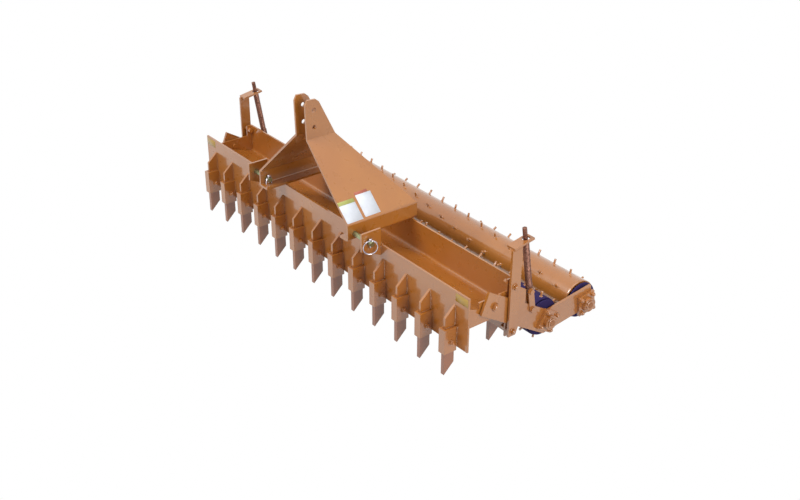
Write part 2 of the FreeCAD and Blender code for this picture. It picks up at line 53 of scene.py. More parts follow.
# Sizes of the solids that the pieces here are fitted to
Y_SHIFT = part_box("front_plate")[0].y
TOOTH_PITCH = 0.1524
FRONT_TEETH, REAR_TEETH = 13, 12
TOOTH_T = 0.019
GUSSET_T = 0.011
POCKET_HALF = 0.018                     # from a tooth's middle to its pocket's outer side
LUG_W = 0.034
RING_STEP = 0.111                       # from one ring of spikes to the next
RING_TURN = 10                          # degrees from one ring to the next
SPIKES_ROUND = 6
FRONT_LEG, REAR_LEG = -31.9, 6.7        # degrees by which the arms' legs rise to the rear
BEARING_T = 0.014
EYE_Y, EYE_Z = 0.333, 0.286             # eye at a height screw's foot
SCREW_LEAN = math.radians(9.25)
POST_T = 0.010
POST_BOLT_Y, POST_BOLT_ZS = 0.232, (0.35, 0.14)
POST_BOLT_HEAD = 0.008
PIVOT_Y, PIVOT_Z = 0.14, 0.285


# Materials

def lin(code):
    """Linear colour of an sRGB code such as "c08040"."""
    parts = [int(code[i:i + 2], 16) / 255 for i in (0, 2, 4)]
    return tuple(c / 12.92 if c <= 0.04045 else ((c + 0.055) / 1.055) ** 2.4 for c in parts) + (1.0,)


def add(tree, kind, links=None, **values):
    """Adds a node of that kind to the tree, with values for its sockets and sockets to link to them."""
    node = tree.nodes.new(kind)
    for name, value in values.items():
        if hasattr(node, name):
            setattr(node, name, value)
        else:
            node.inputs[name.replace("_", " ")].default_value = value
    for name, socket in (links or {}).items():
        tree.links.new(socket, node.inputs[name])
    return node


def shader(name, **values):
    """A material with its Principled shader, whose sockets get the values, and the object's coordinates."""
    material = bpy.data.materials.new(name)
    material.use_nodes = True
    tree = material.node_tree
    surface = tree.nodes["Principled BSDF"]
    for socket, value in values.items():
        surface.inputs[socket.replace("_", " ")].default_value = value
    place = add(tree, "ShaderNodeTexCoord").outputs["Object"]
    return material, tree, surface, place


def mixed(tree, factor, first, second):
    """Colour between two, each a colour or a socket."""
    mix = add(tree, "ShaderNodeMix", data_type="RGBA")
    tree.links.new(factor, mix.inputs[0])
    for index, colour in ((6, first), (7, second)):
        if isinstance(colour, tuple):
            mix.inputs[index].default_value = colour
        else:
            tree.links.new(colour, mix.inputs[index])
    return mix.outputs[2]


def ramp(tree, socket, low, high, to_low=0.0, to_high=1.0):
    """A value that runs from to_low to to_high while the socket runs from low to high."""
    limits = {"From_Min": low, "From_Max": high, "To_Min": to_low, "To_Max": to_high}
    return add(tree, "ShaderNodeMapRange", {"Value": socket}, **limits).outputs["Result"]


def noise(tree, place, scale, detail=3.0, rough=0.5):
    """Noise with about that many grains to a metre."""
    grain = {"Scale": scale, "Detail": detail, "Roughness": rough}
    return add(tree, "ShaderNodeTexNoise", {"Vector": place}, **grain).outputs["Fac"]


def bumped(tree, surface, height, strength, distance):
    """Bump over an edge that the paint has rounded."""
    rounded = add(tree, "ShaderNodeBevel", samples=4, Radius=0.0012).outputs["Normal"]
    links = {"Height": height, "Normal": rounded}
    bump = add(tree, "ShaderNodeBump", links, Strength=strength, Distance=distance)
    tree.links.new(bump.outputs["Normal"], surface.inputs["Normal"])


def enamel(name, colour, deep, edge, gloss=0.24, coat=1.0, shine=0.5):
    """Sprayed enamel: a full gloss that mirrors the bright studio softly, with a slight orange peel, colour
    that drifts a little from plate to plate, dark specks, and worn spots that show lighter."""
    material, tree, surface, place = shader(name, Coat_Weight=coat, Coat_Roughness=0.1, Coat_IOR=1.66)
    surface.inputs["Specular IOR Level"].default_value = shine
    broad = ramp(tree, noise(tree, place, 3.1), 0.35, 0.65)
    specks = ramp(tree, noise(tree, place, 420.0, 2.0), 0.62, 0.74, 0.0, 0.14)
    wear = ramp(tree, noise(tree, place, 55.0, 5.0, 0.65), 0.6, 0.72, 0.0, 0.16)
    base = mixed(tree, broad, lin(colour), lin(deep))
    base = mixed(tree, specks, base, lin(deep))
    tree.links.new(mixed(tree, wear, base, lin(edge)), surface.inputs["Base Color"])
    patches = ramp(tree, noise(tree, place, 24.0, 4.0), 0.3, 0.7, gloss, gloss + 0.16)
    tree.links.new(patches, surface.inputs["Roughness"])
    bumped(tree, surface, noise(tree, place, 260.0, 2.0), 0.09, 0.0006)
    return material


def metal(name, colour, stain, roughness, grain, grain_scale):
    """Bare or plated metal: its own tint in the reflections, fine marks from turning and darker stains."""
    material, tree, surface, place = shader(name, Metallic=1.0)
    stains = ramp(tree, noise(tree, place, grain_scale, 5.0, 0.6), 0.42, 0.66)
    tree.links.new(mixed(tree, stains, lin(colour), lin(stain)), surface.inputs["Base Color"])
    tree.links.new(ramp(tree, stains, 0.0, 1.0, roughness, roughness + 0.2), surface.inputs["Roughness"])
    bumped(tree, surface, noise(tree, place, grain_scale * 9, 2.0), grain, 0.0004)
    return material


def film(name, colour, roughness):
    """Printed vinyl: even colour under a smooth, slightly crinkled clear film."""
    material, tree, surface, place = shader(name, Coat_Weight=0.6, Coat_Roughness=0.1)
    tint = ramp(tree, noise(tree, place, 60.0), 0.3, 0.7, 0.0, 0.12)
    tree.links.new(mixed(tree, tint, lin(colour), lin("8d8478")), surface.inputs["Base Color"])
    creases = ramp(tree, noise(tree, place, 90.0), 0.3, 0.7, roughness, roughness + 0.1)
    tree.links.new(creases, surface.inputs["Roughness"])
    bumped(tree, surface, noise(tree, place, 45.0), 0.1, 0.0003)
    return material


# Glossy tan-orange spray enamel: bright, with a milky mirror of the studio on every flat face
TAN = enamel("tan_enamel", "b2702a", "a66527", "c08a4c")
# The same coat over weld beads, duller because the ripples scatter it
TAN_WELD = enamel("tan_weld_enamel", "aa6a2a", "935723", "c08a4c", 0.45, 0.3)
# The same coat on the ripper teeth, with painted shade: its colours are set darker to stand for the shade
# that falls on the teeth
TOOTH_PAINTED_SHADE = enamel("tooth_enamel_painted_shade", "9c5c30", "8c4f2c", "b08458", 0.3, 0.7)
# Deep purple enamel of the front drum and the end discs, dull enough to stay dark at a glance
PURPLE = enamel("purple_enamel", "3c325e", "332a54", "4c4278", 0.5, 0.0, 0.04)
# Oiled bare steel of the screws: reddish brown, with dark stains in the thread
OILED = metal("oiled_steel", "946a5a", "5f4036", 0.42, 0.25, 140.0)
# Zinc plate passivated yellow-green, on the lower pins
ZINC = metal("yellow_zinc", "aab18c", "7d845c", 0.26, 0.12, 90.0)
# Bright plated spring wire of the linch pins: an almost clean mirror
CHROME = metal("bright_plate", "d8d2d8", "a59fae", 0.12, 0.05, 60.0)
# Printed vinyl films of the blank stickers and labels
YELLOW = film("yellow_film", "b48d26", 0.3)
WHITE = film("white_film", "dde2ea", 0.35)
LIME = film("lime_film", "a9ad52", 0.35)
RED = film("red_film", "b0573c", 0.35)
NODE_LOOKS = (("front_roller_drum", PURPLE), ("_discs", PURPLE), ("_axle", TAN_WELD),
              ("height_screw", OILED), ("lower_pin", ZINC), ("_teeth", TOOTH_PAINTED_SHADE))

for name, node in nodes.items():
    look = next((material for part, material in NODE_LOOKS if part in name), TAN)
    for slot in node.material_slots:
        slot.material = look


# Modelling

def in_edit(step):
    """Runs one step on the active object's whole mesh in edit mode."""
    bpy.ops.object.mode_set(mode="EDIT")
    bpy.ops.mesh.select_all(action="SELECT")
    step()
    bpy.ops.object.mode_set(mode="OBJECT")


def only(*objects):
    """Selects these objects alone."""
    bpy.ops.object.select_all(action="DESELECT")
    for o in objects:
        o.select_set(True)
    bpy.context.view_layer.objects.active = objects[0]


def turned(profile, sides=24):
    """A turned or forged piece along +Z: (height, radius) rings, each pulled up out of the one before."""
    bpy.ops.object.select_all(action="DESELECT")
    height, radius = profile[0]
    place = (0, 0, height)
    bpy.ops.mesh.primitive_circle_add(vertices=sides, radius=radius, fill_type="NGON", location=place)
    piece = bpy.context.object
    bpy.ops.object.transform_apply()

    def pull():
        at, wide = profile[0]
        for up, reach in profile[1:]:
            bpy.ops.mesh.extrude_region_move(TRANSFORM_OT_translate={"value": (0, 0, up - at)})
            bpy.ops.transform.resize(value=(reach / wide, reach / wide, 1), center_override=(0, 0, up))
            at, wide = up, reach
    in_edit(pull)
    return piece


def ring(inner, outer, thick, corner=0.0004, steps=48):
    """A washer or rim about +Z: a rectangle with trimmed corners, spun round."""
    bpy.ops.object.select_all(action="DESELECT")
    middle = ((inner + outer) / 2, 0, thick / 2)
    bpy.ops.mesh.primitive_plane_add(size=1, rotation=(math.pi / 2, 0, 0), location=middle)
    piece = bpy.context.object
    piece.scale = (outer - inner, thick, 1)
    bpy.ops.object.transform_apply(location=True, rotation=True, scale=True)

    def spin():
        bpy.ops.mesh.bevel(offset=corner, affect="VERTICES")
        bpy.ops.mesh.delete(type="ONLY_FACE")
        bpy.ops.mesh.select_all(action="SELECT")
        bpy.ops.mesh.spin(steps=steps, angle=2 * math.pi, center=(0, 0, 0), axis=(0, 0, 1))
        bpy.ops.mesh.select_all(action="SELECT")
        bpy.ops.mesh.remove_doubles(threshold=0.00002)
    in_edit(spin)
    return piece


def block(size, corner):
    """A plate or bar with rounded edges, centred."""
    bpy.ops.object.select_all(action="DESELECT")
    bpy.ops.mesh.primitive_cube_add(size=1)
    piece = bpy.context.object
    piece.scale = size
    bpy.ops.object.transform_apply()
    in_edit(lambda: bpy.ops.mesh.bevel(offset=corner, segments=2))
    return piece


def put(piece, where, axis=Z, spin=0.0):
    """Turns the piece's +Z to the axis and moves it there; its place ends up in its mesh."""
    turn = Z.rotation_difference(Vector(axis)).to_matrix().to_4x4()
    only(piece)
    piece.matrix_world = Matrix.Translation(Vector(where)) @ turn @ Matrix.Rotation(spin, 4, "Z")
    bpy.ops.object.transform_apply()
    return piece


def repeated(piece, count, offset):
    """The piece and its copies, in one mesh."""
    only(piece)
    array = piece.modifiers.new("row", "ARRAY")
    array.count, array.use_relative_offset, array.use_constant_offset = count, False, True
    array.constant_offset_displace = offset
    bpy.ops.object.modifier_apply(modifier=array.name)
    return piece


def turned_row(piece, count, step):
    """The piece and its copies, each moved and turned by one more step, in one mesh."""
    bpy.ops.object.empty_add()
    guide = bpy.context.object
    guide.matrix_world = step
    bpy.context.view_layer.update()
    only(piece)
    array = piece.modifiers.new("turns", "ARRAY")
    array.count, array.use_relative_offset, array.use_object_offset = count, False, True
    array.offset_object = guide
    bpy.ops.object.modifier_apply(modifier=array.name)
    bpy.data.objects.remove(guide)
    return piece


def join(pieces):
    only(*pieces)
    if len(pieces) > 1:
        bpy.ops.object.join()
    return pieces[0]


def finish(name, pieces, body, material, angle=34.0):
    """Joins the pieces, shades them and lets them ride on the body."""
    piece = join(pieces)
    piece.name = name
    in_edit(lambda: bpy.ops.mesh.normals_make_consistent(inside=False))
    bpy.ops.object.shade_smooth_by_angle(angle=math.radians(angle))
    piece.data.materials.clear()
    piece.data.materials.append(material)
    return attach(piece, body)


def on_node(name, start, direction):
    """Where a line from start first meets a CAD node, and the surface's normal there."""
    hit, where, normal, _ = nodes[name].ray_cast(Vector(start), Vector(direction))
    assert hit, name
    return where, normal


def hex_head(radius, height):
    """A bolt's head or nut with a chamfered top."""
    return turned(((0, radius), (height * 0.76, radius), (height, radius * 0.82)), 6)


def outer_face(name, sign):
    """X of a CAD node's face away from the machine's middle."""
    low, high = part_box(name)
    return high.x if sign > 0 else low.x


def centre(name):
    low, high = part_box(name)
    return (low + high) / 2


# Deck and end plates of the trough, which stand for the plainer ones of the solids

DECK_FRONT_Z = 0.313                    # height of its upper face at the front plate
DECK_FALL = math.radians(18.9)
DECK_T = 0.006
DECK_BEND, BEND_STEPS = 0.011, 8
DECK_HOLE = (0.791, 0.1935, 0.005)      # X, Y and radius
CHEEK_FOOT_Z, CHEEK_TOP_Z = 0.220, 0.320
CHEEK_STEP_Y = 0.070                    # where its edge steps up from the deck
CHEEK_KNEE_Y, CHEEK_LUG_FOOT_Z = 0.153, 0.1834


def deck_z(y):
    """Height of the deck's upper face, y behind the front plate's back."""
    return DECK_FRONT_Z - y * math.tan(DECK_FALL)


def pulled(x, line):
    """An open line of (y, z) points at x: a plane merged to one vertex, pulled from point to point."""
    bpy.ops.object.select_all(action="DESELECT")
    bpy.ops.mesh.primitive_plane_add(size=0.001, location=(x, *line[0]))
    piece = bpy.context.object
    bpy.ops.object.transform_apply()

    def pull():
        bpy.ops.mesh.merge(type="CENTER")
        for (ay, az), (by, bz) in zip(line, line[1:]):
            bpy.ops.mesh.extrude_region_move(TRANSFORM_OT_translate={"value": (0, by - ay, bz - az)})
    in_edit(pull)
    return piece


def drawn_out(piece, width, filled):
    """The line drawn out along X, to a strip or, where it is filled first, to a plate."""
    def draw():
        if filled:
            bpy.ops.mesh.edge_face_add()
        bpy.ops.mesh.extrude_region_move(TRANSFORM_OT_translate={"value": (width, 0, 0)})
    in_edit(draw)
    return piece


def drilled(piece, where, radius, depth):
    """The piece with an upright hole through it."""
    bpy.ops.object.select_all(action="DESELECT")
    bpy.ops.mesh.primitive_cylinder_add(vertices=24, radius=radius, depth=depth, location=where)
    drill = bpy.context.object
    only(piece)
    cut = piece.modifiers.new("hole", "BOOLEAN")
    cut.object = drill
    bpy.ops.object.modifier_apply(modifier=cut.name)
    bpy.data.objects.remove(drill)
    return piece


def deck():
    """A sheet that falls from the front plate to the blade and curves up into its face."""
    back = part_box("front_plate")[1].y
    low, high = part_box("rear_blade")
    middle_y = low.y - DECK_BEND
    middle_z = deck_z(middle_y - back) + DECK_BEND / math.cos(DECK_FALL)
    start = -math.pi / 2 - DECK_FALL
    turns = [start * (1 - n / BEND_STEPS) for n in range(BEND_STEPS + 1)]
    bend = [(middle_y + DECK_BEND * math.cos(t), middle_z + DECK_BEND * math.sin(t)) for t in turns]
    piece = drawn_out(pulled(low.x, [(back, DECK_FRONT_Z)] + bend), high.x - low.x, False)
    only(piece)
    sheet = piece.modifiers.new("sheet", "SOLIDIFY")
    sheet.thickness, sheet.offset = DECK_T, -1 if piece.data.polygons[0].normal.z > 0 else 1
    bpy.ops.object.modifier_apply(modifier=sheet.name)
    x, y, radius = DECK_HOLE
    y += Y_SHIFT
    piece = drilled(piece, (x, y, deck_z(y - back)), radius, 10 * DECK_T)
    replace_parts(finish("trough_deck", [piece], "main_frame", TAN), "trough_plate")


def cheek(side):
    """End plate under the deck's end, which steps up behind it to carry the pivot, with lugs at the blade."""
    low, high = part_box("frame_cheek_" + side)
    lug = high.y - LUG_W
    front = low.y
    step = CHEEK_STEP_Y + Y_SHIFT
    knee = CHEEK_KNEE_Y + Y_SHIFT
    foot_line = [(front, CHEEK_FOOT_Z), (knee, CHEEK_FOOT_Z), (lug, CHEEK_LUG_FOOT_Z)]
    lugs = [(lug, low.z), (high.y, low.z), (high.y, high.z), (lug, high.z)]
    top_line = [(lug, CHEEK_TOP_Z), (step, CHEEK_TOP_Z), (step, deck_z(step - front)), (front, DECK_FRONT_Z)]
    piece = drawn_out(pulled(low.x, foot_line + lugs + top_line), high.x - low.x, True)
    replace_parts(finish("end_plate_" + side, [piece], "main_frame", TAN), "frame_cheek_" + side)


deck()
for side, _ in SIDES:
    cheek(side)


# Tooth bolts through both rows of pockets

TOOTH_WASHER = (0.0068, 0.0142, 0.002)  # inner and outer radius, and thickness
TOOTH_HEAD = (0.0118, 0.0082)           # radius and height
TOOTH_STUB = ((0, 0.0062), (0.0135, 0.0062), (0.0148, 0.005))
TOOTH_BOLT_BACK, TOOTH_BOLT_UP = 0.003, 0.047   # behind a tooth's middle, and above its pocket's foot
HEAD_TURN = 0.3                         # radians by which the heads are turned off upright


def tooth_bolts(name, pockets, teeth, count):
    """A bolt through each pocket and its tooth, with a washer, a hexagon and a stub on both sides."""
    tooth_low, tooth_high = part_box(teeth)
    first = tooth_low.x + TOOTH_T / 2
    y = (tooth_low.y + tooth_high.y) / 2 + TOOTH_BOLT_BACK
    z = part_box(pockets)[0].z + TOOTH_BOLT_UP
    pieces = []
    for way in (1, -1):
        face = first + way * POCKET_HALF
        axis = X * way
        pieces.append(put(ring(*TOOTH_WASHER), (face, y, z), axis))
        pieces.append(put(hex_head(*TOOTH_HEAD), (face + way * TOOTH_WASHER[2], y, z), axis, HEAD_TURN))
        pieces.append(put(turned(TOOTH_STUB, 16), (face, y, z), axis))
    return finish(name, [repeated(join(pieces), count, (TOOTH_PITCH, 0, 0))], "main_frame", TAN)


tooth_bolts("front_tooth_bolts", "front_tooth_pockets", "front_teeth", FRONT_TEETH)
tooth_bolts("rear_tooth_bolts", "rear_tooth_pockets", "rear_teeth", REAR_TEETH)


# Welds: each a row of ripples

RIPPLE = 0.0036                         # from one ripple to the next
BEAD, SMALL_BEAD, FINE_BEAD = 0.0042, 0.0035, 0.003
BEAD_STOP = 0.004                       # a bead stops this far short of an edge
BEAD_GAP = 0.002                        # and this far short of another plate
WELD_ANGLE = 60                         # sharper edges than this stay sharp in shading


def weld(start, end, size=BEAD):
    start, end = Vector(start), Vector(end)
    count = max(2, round((end - start).length / RIPPLE))
    bead = turned(((0, size * 0.72), (RIPPLE * 0.45, size), (RIPPLE, size * 0.72)), 8)
    return put(repeated(bead, count, (0, 0, RIPPLE)), start, (end - start).normalized())


def front_welds():
    """Beads on both sides of each gusset and each front pocket, and where a gusset stands on its pocket."""
    gusset_low, gusset_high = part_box("shank_gussets")
    pocket_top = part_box("front_tooth_pockets")[1].z
    plate_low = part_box("front_plate")[0]
    face = plate_low.y
    first = gusset_low.x + GUSSET_T / 2
    pieces = []
    for way in (1, -1):
        gusset = first + way * GUSSET_T / 2
        pocket = first + way * POCKET_HALF
        pieces.append(weld((gusset, face, pocket_top + BEAD_GAP), (gusset, face, gusset_high.z - BEAD_STOP)))
        pieces.append(weld((pocket, face, plate_low.z + BEAD_STOP), (pocket, face, pocket_top - BEAD_GAP)))
        foot = (gusset, gusset_low.y + BEAD_STOP, pocket_top)
        pieces.append(weld(foot, (gusset, face, pocket_top), FINE_BEAD))
    row = repeated(join(pieces), FRONT_TEETH, (TOOTH_PITCH, 0, 0))
    return finish("front_row_welds", [row], "main_frame", TAN_WELD, WELD_ANGLE)


def rear_welds():
    """Beads on both sides of each rear pocket."""
    pocket_low, pocket_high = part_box("rear_tooth_pockets")
    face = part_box("rear_blade")[1].y
    first = pocket_low.x + POCKET_HALF
    foot, top = pocket_low.z + BEAD_STOP, pocket_high.z - BEAD_GAP
    pieces = [weld((first + way * POCKET_HALF, face, foot), (first + way * POCKET_HALF, face, top))
              for way in (1, -1)]
    row = repeated(join(pieces), REAR_TEETH, (TOOTH_PITCH, 0, 0))
    return finish("rear_row_welds", [row], "main_frame", TAN_WELD, WELD_ANGLE)


front_welds()
rear_welds()

CHEEK_BEAD_Z = (0.225, 0.3)             # foot and top of the bead between a cheek and the front plate
LUG_BEAD_Z = 0.268                      # foot of the bead between the upper lug and the blade
LINK_BEAD_UP = 0.03                     # how far above a link plate's foot its bead starts
LIP_BEAD = 0.055                        # how far a bead runs in along the hitch's lip
FLANGE_BEAD = 0.004


def frame_welds(side, sign):
    """Welds of the cheeks, the hitch's lip and the outer link plate."""
    cheek_low, cheek_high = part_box("frame_cheek_" + side)
    plate_low, plate_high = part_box("front_plate")
    blade_low, blade_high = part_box("rear_blade")
    link_low, link_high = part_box("link_plate_" + side)
    inner = cheek_low.x if sign > 0 else cheek_high.x
    top = plate_high.z
    pieces = [weld((inner, plate_high.y, CHEEK_BEAD_Z[0]), (inner, plate_high.y, CHEEK_BEAD_Z[1])),
              weld((inner, blade_low.y, LUG_BEAD_Z), (inner, blade_low.y, top - BEAD_STOP), FINE_BEAD)]
    for x in (link_low.x, link_high.x):
        pieces.append(weld((x, plate_low.y, link_low.z + LINK_BEAD_UP), (x, plate_low.y, top - BEAD_GAP)))
        pieces.append(weld((x, plate_low.y + BEAD_STOP, top), (x, plate_high.y, top), SMALL_BEAD))
    outer = outer_face("hitch_side_" + side, sign)
    for low_y, high_y in ((plate_low.y, plate_high.y), (blade_low.y, blade_high.y)):
        pieces.append(weld((outer, low_y, top), (outer, high_y, top), FLANGE_BEAD))
        pieces.append(weld((outer - sign * LIP_BEAD, low_y, top), (outer, low_y, top), FINE_BEAD))
    return finish("frame_welds_" + side, pieces, "main_frame", TAN_WELD, WELD_ANGLE)


for side, sign in SIDES:
    frame_welds(side, sign)


# Drums: a smooth rolled skin over the flats, and round spikes on weld collars

SKIN_R = 0.0846
# distance from the drum's end and step off the skin's radius: a rounded edge, then the seam of the end cap
RIM = ((0, -0.003), (0.0004, -0.001), (0.0022, 0), (0.0085, 0), (0.0092, -0.0005), (0.0099, 0))
# distance from the axle and radius: the weld collar, then the bar and its chamfer
SPIKE = ((0.0828, 0.0088), (0.0848, 0.0082), (0.0862, 0.0066), (0.0872, 0.0051), (0.1068, 0.005),
         (0.1073, 0.0046))


def drum_dress(roller, first_x, ring_count, first_turn, material):
    """Skin and spikes of a roller, whose first ring of spikes is at first_x and turned by first_turn."""
    low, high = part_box(roller + "_drum")
    axle = centre(roller + "_axle")
    length = high.x - low.x
    near = [(along, SKIN_R + step) for along, step in RIM]
    profile = near + [(length - along, radius) for along, radius in reversed(near)]
    skin = put(turned(profile, 120), (low.x, axle.y, axle.z), X)
    finish(roller + "_skin", [skin], roller, material, 30)
    star = turned_row(turned(SPIKE, 12), SPIKES_ROUND, Matrix.Rotation(math.tau / SPIKES_ROUND, 4, "X"))
    step = Matrix.Translation(X * RING_STEP) @ Matrix.Rotation(math.radians(RING_TURN), 4, "X")
    rows = turned_row(star, ring_count, step)
    only(rows)
    place = Matrix.Translation(Vector((first_x, axle.y, axle.z)))
    rows.matrix_world = place @ Matrix.Rotation(math.radians(first_turn), 4, "X")
    bpy.ops.object.transform_apply()
    return finish(roller + "_spikes", [rows], roller, TAN, 40)


# the rings run out from the middle: one at X = 0 on the rear drum, and half a step off it on the front drum
drum_dress("front_roller", (0.5 - 9) * RING_STEP, 18, -180, PURPLE)
drum_dress("rear_roller", -8 * RING_STEP, 17, -170, TAN)


# Bearings: bolts through the flange, the inner ring's collars and a grease nipple

BEARING_BOLT = 0.033                    # from the axle to a bolt, along each side of the flange
BEARING_WASHER = (0.0064, 0.0122, 0.002)
BEARING_HEAD = (0.0102, 0.0078)
BEARING_STUB = ((0, 0.0058), (0.0125, 0.0058), (0.0138, 0.0046))
BEARING_HEAD_TURN = 0.4
COLLARS = ((0.0131, 0.0215, 0.0045, 0.0008), (0.0245, 0.0285, 0.0016, 0.0005))
NIPPLE = ((0, 0.0042), (0.003, 0.0042), (0.0036, 0.0026), (0.0075, 0.0026), (0.0085, 0.0034), (0.0105, 0.002))
NIPPLE_SPOT = Vector((0, -0.027, 0.012)) * 0.98


def bearing_dress(roller, side, sign, degrees):
    name = roller + "_bearing_" + side
    low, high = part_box(name)
    axle = centre(roller + "_axle")
    face = low.x + BEARING_T if sign > 0 else high.x - BEARING_T
    end = Vector((high.x if sign > 0 else low.x, axle.y, axle.z))
    axis = X * sign
    turn = Matrix.Rotation(math.radians(degrees), 3, "X")
    pieces = []
    for across, up in ((1, 1), (1, -1), (-1, 1), (-1, -1)):
        where = Vector((face, axle.y, axle.z)) + turn @ Vector((0, across, up)) * BEARING_BOLT
        pieces.append(put(ring(*BEARING_WASHER), where, axis))
        pieces.append(put(hex_head(*BEARING_HEAD), where + axis * BEARING_WASHER[2], axis, BEARING_HEAD_TURN))
        pieces.append(put(turned(BEARING_STUB, 16), where, axis))
    finish(name + "_bolts", pieces, "roller_frame", TAN)
    hub = [put(ring(*collar), end, axis) for collar in COLLARS]
    hub.append(put(turned(NIPPLE, 12), end - axis * 0.002 + turn @ NIPPLE_SPOT, axis))
    finish(name + "_race", hub, "roller_frame", TAN)


for side, sign in SIDES:
    bearing_dress("front_roller", side, sign, FRONT_LEG)
    bearing_dress("rear_roller", side, sign, REAR_LEG)


# Height screws: the thread's coil and the chamfer of the upper end

UP_SCREW = Vector((0, -math.sin(SCREW_LEAN), math.cos(SCREW_LEAN)))
THREAD_R, THREAD_RISE, THREAD_PITCH = 0.0123, 0.0021, 0.0056
THREAD_START, THREAD_END, THREAD_UP = 0.026, 0.243, 0.002
TIP_AT = 0.3045                         # along the screw, from its eye
TIP = ((0, 0.0096), (0.0015, 0.0096), (0.0035, 0.0082), (0.004, 0.006))


def thread(where):
    """A coil of a blunt triangle round the screw's core, closed at both ends."""
    bpy.ops.object.select_all(action="DESELECT")
    quarter = (math.pi / 2, 0, 0)
    bpy.ops.mesh.primitive_circle_add(vertices=3, radius=1, fill_type="NOTHING", rotation=quarter)
    coil = bpy.context.object
    coil.scale = (THREAD_RISE, 0.5 * THREAD_PITCH, 1)
    bpy.ops.object.transform_apply()
    coil.location = (THREAD_R, 0, 0)
    bpy.ops.object.transform_apply()
    only(coil)
    screw = coil.modifiers.new("coil", "SCREW")
    screw.axis, screw.screw_offset = "Z", THREAD_PITCH
    screw.iterations = round((THREAD_END - THREAD_START) / THREAD_PITCH)
    screw.steps = screw.render_steps = 20
    bpy.ops.object.modifier_apply(modifier=screw.name)

    def close():
        bpy.ops.mesh.remove_doubles(threshold=0.00001)
        bpy.ops.mesh.fill_holes(sides=0)
    in_edit(close)
    return put(coil, where, UP_SCREW)


def screw_dress(side):
    eye = Vector((centre("height_screw_" + side).x, EYE_Y + Y_SHIFT, EYE_Z))
    coil = thread(eye + UP_SCREW * (THREAD_START + THREAD_UP))
    finish("screw_thread_" + side, [coil], "screw_" + side, OILED, 40)
    tip = put(turned(TIP, 24), eye + UP_SCREW * TIP_AT, UP_SCREW)
    finish("screw_tip_" + side, [tip], "screw_" + side, OILED)


for side, _ in SIDES:
    screw_dress(side)


# Washers and stubs where bolts hold the posts, the pivots' ends and the welds under the caps

POST_WASHER = (0.0121, 0.0165, 0.0022)
POST_STUB = ((0, 0.0078), (0.003, 0.0078), (0.0042, 0.0065))
PIVOT_STUB = ((0, 0.0116), (0.0035, 0.0116), (0.005, 0.0098))
PIVOT_STUB_SUNK = 0.0005
CAP_BEAD_FRONT = (0.004, -0.0105)       # off the post's front edge and off its top
CAP_BEAD_REAR = (-0.003, -0.0025)


def bolt_dress(side, sign):
    post_low, post_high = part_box("post_" + side)
    face = outer_face("post_" + side, sign)
    axis = X * sign
    pieces = []
    for z in POST_BOLT_ZS:
        where = Vector((face, POST_BOLT_Y + Y_SHIFT, z))
        pieces.append(put(ring(*POST_WASHER), where, axis))
        pieces.append(put(turned(POST_STUB, 20), where + axis * POST_BOLT_HEAD, axis))
    finish("post_washers_" + side, pieces, "main_frame", TAN)
    pivot = Vector((outer_face("pivot_pin_" + side, sign), PIVOT_Y + Y_SHIFT, PIVOT_Z))
    stub = put(turned(PIVOT_STUB, 24), pivot - axis * PIVOT_STUB_SUNK, axis)
    finish("pivot_stub_" + side, [stub], "main_frame", TAN)
    front = (post_low.y + CAP_BEAD_FRONT[0], post_high.z + CAP_BEAD_FRONT[1])
    rear = (post_high.y + CAP_BEAD_REAR[0], post_high.z + CAP_BEAD_REAR[1])
    pieces = [weld((x, *front), (x, *rear), FINE_BEAD) for x in (face - sign * POST_T, face)]
    finish("cap_welds_" + side, pieces, "main_frame", TAN_WELD, WELD_ANGLE)


for side, sign in SIDES:
    bolt_dress(side, sign)


# Linch pins through the lower pins, each with a spring ring folded down round the pin's end

LINCH_SHAFT = ((-0.021, 0.0032), (-0.018, 0.0046), (0.013, 0.0046), (0.0135, 0.0072), (0.0205, 0.0072),
               (0.0225, 0.0055))
LINCH_FROM_END = 0.013
LOOP_WIRE = 0.0032
LOOP_HINGE = 0.011                      # height of the ring's top over the pin's axis


def linch(side, degrees, radius):
    """Linch pin near the lower pin's +X end, its ring turned by that many degrees about the upright."""
    foot = centre("lower_pin_" + side)
    foot.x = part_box("lower_pin_" + side)[1].x - LINCH_FROM_END
    shaft = put(turned(LINCH_SHAFT, 20), foot)
    bpy.ops.object.select_all(action="DESELECT")
    bpy.ops.mesh.primitive_torus_add(major_radius=radius, minor_radius=LOOP_WIRE, major_segments=48,
                                     minor_segments=10)
    loop = bpy.context.object
    facing = Matrix.Rotation(math.radians(degrees), 3, "Z") @ X
    loop = put(loop, foot + Z * (LOOP_HINGE - radius), facing)
    return finish("linch_pin_" + side, [shaft, loop], "main_frame", CHROME, 40)


linch("right", -22, 0.031)
linch("left", 25, 0.022)


# Stickers

FILM_T = 0.0004
FILM_CORNER = 0.00015
CORNER_STICKER = (0.074, 0.036)
STICKER_DROP = 0.0435                   # from the front plate's top edge to a corner sticker's foot
STICKER_SIDES = (("right", 0.078), ("left", 0.004))     # from the plate's end to the sticker's left side
# Y of the left side, height along the slope from the fold, width and height
LABELS = (("label_left", -0.0965, 0.003, 0.083, 0.083, WHITE),
          ("label_left_band", -0.0965, 0.086, 0.083, 0.018, LIME),
          ("label_right", 0.0, 0.007, 0.08, 0.104, WHITE),
          ("label_right_band", 0.0, 0.111, 0.066, 0.013, RED))
SLOPE_PROBE = Vector((0.25, -0.35, 1.0))        # over the hitch's leaning side
FOLD_Z = 0.4529                         # height of the outer fold between the leaning side and its flange


def sticker(name, corner, along, up, size, material):
    """A thin film whose lower corner, sides and size are given."""
    out = along.cross(up)
    piece = block((size[0], size[1], FILM_T), FILM_CORNER)
    middle = corner + along * size[0] / 2 + up * size[1] / 2 + out * FILM_T * 0.4
    only(piece)
    piece.matrix_world = Matrix.Translation(middle) @ Matrix((along, up, out)).transposed().to_4x4()
    bpy.ops.object.transform_apply()
    return finish(name, [piece], "main_frame", material)


